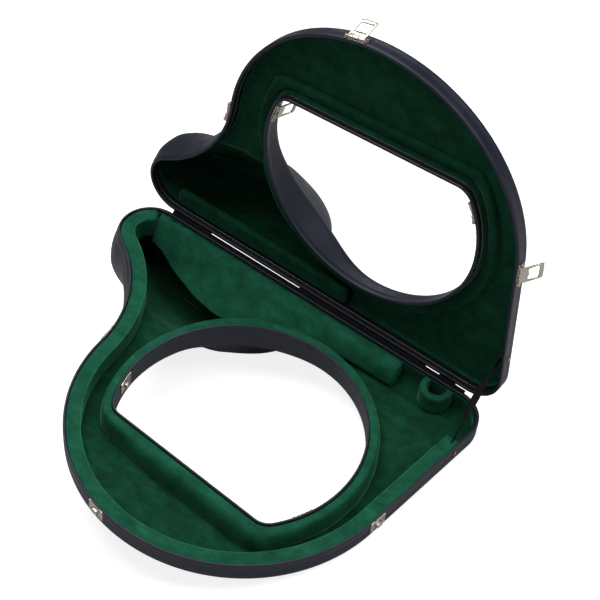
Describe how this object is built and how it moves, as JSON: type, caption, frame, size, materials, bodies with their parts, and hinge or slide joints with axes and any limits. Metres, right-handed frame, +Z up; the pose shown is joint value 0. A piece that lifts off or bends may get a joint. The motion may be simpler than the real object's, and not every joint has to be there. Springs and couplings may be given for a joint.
{
  "type": "hunting horn case",
  "caption": "Ring-shaped padded case for a coiled hunting horn, open: hinged lid, deep bell bulge, D-shaped centre hole, draw latches, stay strap and handle.",
  "frame": {"origin": "centre of the bounding box at the floor, with the case standing open on its bell bulge and its right side", "axes": "+Z up, +X along the hinge towards the mouthpiece end, +Y towards the back, behind the open lid"},
  "size_m": [0.7014, 0.64, 0.5851],
  "materials": {
    "shell_covering": "fine-grained black leatherette over a wooden shell",
    "velvet": "green velvet",
    "nickel": "nickel-plated steel",
    "webbing": "black webbing",
    "handle_covering": "black leatherette"
  },
  "bodies": {
    "case": {"handle_mount_1": "nickel", "handle_mount_2": "nickel", "hinge_1_lower_leaf": "nickel", "hinge_1_pin": "nickel", "hinge_2_lower_leaf": "nickel", "hinge_2_pin": "nickel", "hinge_3_lower_leaf": "nickel", "hinge_3_pin": "nickel", "hinge_4_lower_leaf": "nickel", "hinge_4_pin": "nickel", "latch_front_catch": "nickel", "latch_hole_left_catch": "nickel", "latch_hole_right_catch": "nickel", "latch_right_catch": "nickel", "latch_waist_catch": "nickel", "lower_hole_pad": "velvet", "lower_lining": "velvet", "lower_outer_pad": "velvet", "lower_shell": "shell_covering", "lower_spine_pad": "velvet", "mouthpiece_holder": "velvet", "stay_rivet_lower": "nickel", "stay_strap": "webbing"},
    "lid": {"hinge_1_lid_leaf": "nickel", "hinge_2_lid_leaf": "nickel", "hinge_3_lid_leaf": "nickel", "hinge_4_lid_leaf": "nickel", "latch_front_base": "nickel", "latch_hole_left_base": "nickel", "latch_hole_right_base": "nickel", "latch_right_base": "nickel", "latch_waist_base": "nickel", "lid_hole_pad": "velvet", "lid_lining": "velvet", "lid_shell": "shell_covering", "lid_spine_pad": "velvet", "stay_rivet_lid": "nickel"},
    "handle": {"handle": "handle_covering"},
    "latch_front_lever": {"latch_front_lever": "nickel"},
    "latch_hole_left_lever": {"latch_hole_left_lever": "nickel"},
    "latch_hole_right_lever": {"latch_hole_right_lever": "nickel"},
    "latch_right_lever": {"latch_right_lever": "nickel"},
    "latch_waist_lever": {"latch_waist_lever": "nickel"}
  },
  "joints": [
    {"name": "lid_hinge", "type": "hinge", "parent": "case", "child": "lid", "pos_m": [-0.28869, 0.16859, 0.16273], "axis": [0.9766, 0, -0.2148], "range_deg": [0, 92], "deforming": ["stay_strap"]},
    {"name": "handle_swing", "type": "hinge", "parent": "case", "child": "handle", "pos_m": [0.05838, 0.17345, 0.07416], "axis": [0.9766, 0, -0.2148], "range_deg": [0, 95]},
    {"name": "latch_front_lever_hinge", "type": "hinge", "parent": "lid", "child": "latch_front_lever", "pos_m": [0.08711, 0.18295, 0.57742], "axis": [-0.9998, -0.0049, -0.0173], "range_deg": [-166, 6]},
    {"name": "latch_hole_left_lever_hinge", "type": "hinge", "parent": "lid", "child": "latch_hole_left_lever", "pos_m": [-0.06142, 0.17877, 0.40961], "axis": [0.4462, 0.0207, 0.8947], "range_deg": [-162, 10]},
    {"name": "latch_hole_right_lever_hinge", "type": "hinge", "parent": "lid", "child": "latch_hole_right_lever", "pos_m": [0.25938, 0.17928, 0.36362], "axis": [0.177, -0.0197, -0.984], "range_deg": [-172, 0]},
    {"name": "latch_right_lever_hinge", "type": "hinge", "parent": "lid", "child": "latch_right_lever", "pos_m": [0.33188, 0.17804, 0.2878], "axis": [0.1481, 0.0213, 0.9887], "range_deg": [-150, 22]},
    {"name": "latch_waist_lever_hinge", "type": "hinge", "parent": "lid", "child": "latch_waist_lever", "pos_m": [-0.1511, 0.17778, 0.38185], "axis": [-0.3593, -0.0211, -0.933], "range_deg": [-158, 14]}
  ]
}
